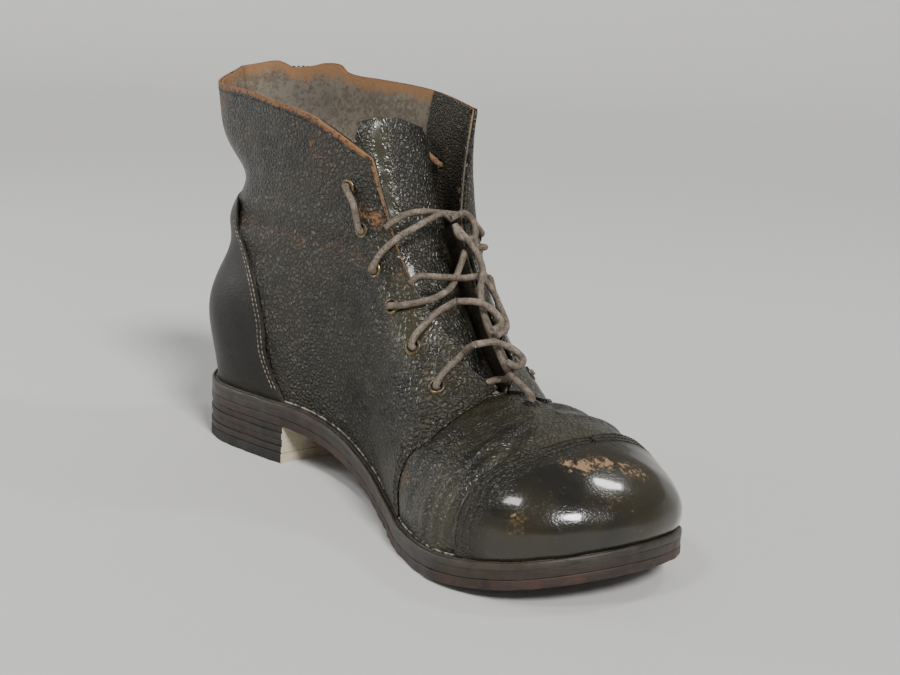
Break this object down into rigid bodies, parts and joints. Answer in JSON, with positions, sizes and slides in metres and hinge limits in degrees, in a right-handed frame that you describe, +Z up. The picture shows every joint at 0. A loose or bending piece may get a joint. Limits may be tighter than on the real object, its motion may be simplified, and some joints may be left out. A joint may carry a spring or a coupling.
{
  "type": "military ankle boot",
  "caption": "Old black leather lace-up ankle boot for the left foot, with a toe cap, a heel counter, a welted leather sole and a stacked heel, loosely laced and standing open.",
  "frame": {"origin": "centre of the base: half way along and across the boot, on the plane it stands on", "axes": "+X to the toe, +Y to the outer side of the left foot, +Z up"},
  "size_m": [0.331, 0.1178, 0.2025],
  "materials": {
    "upper_leather": "worn black grain leather with rubbed brown edges and dust",
    "cap_leather": "polished black leather with tan scuffs",
    "tongue_leather": "soft creased black leather",
    "lining": "pale worn suede and leather",
    "sole_edge": "dark stained leather edge, worn brown",
    "heel_rubber": "dull worn rubber",
    "eyelet_brass": "black paint worn to brass",
    "lace": "round dull brown leather cord"
  },
  "bodies": {
    "root": {"outsole": "sole_edge", "midsole": "sole_edge", "welt": "sole_edge", "insole": "lining", "heel_stack": "sole_edge", "heel_top_piece": "heel_rubber", "upper": "upper_leather", "toe_cap": "cap_leather", "heel_counter": "cap_leather", "tongue": "tongue_leather", "lace_crossings": "lace", "lace_loop_upper": "lace", "lace_loop_lower": "lace", "lace_knot": "lace", "lace_end": "lace", "eyelet_inner_1": "eyelet_brass", "eyelet_inner_2": "eyelet_brass", "eyelet_inner_3": "eyelet_brass", "eyelet_inner_4": "eyelet_brass", "eyelet_inner_5": "eyelet_brass", "eyelet_inner_6": "eyelet_brass", "eyelet_outer_1": "eyelet_brass", "eyelet_outer_2": "eyelet_brass", "eyelet_outer_3": "eyelet_brass", "eyelet_outer_4": "eyelet_brass", "eyelet_outer_5": "eyelet_brass", "eyelet_outer_6": "eyelet_brass"}
  },
  "joints": []
}
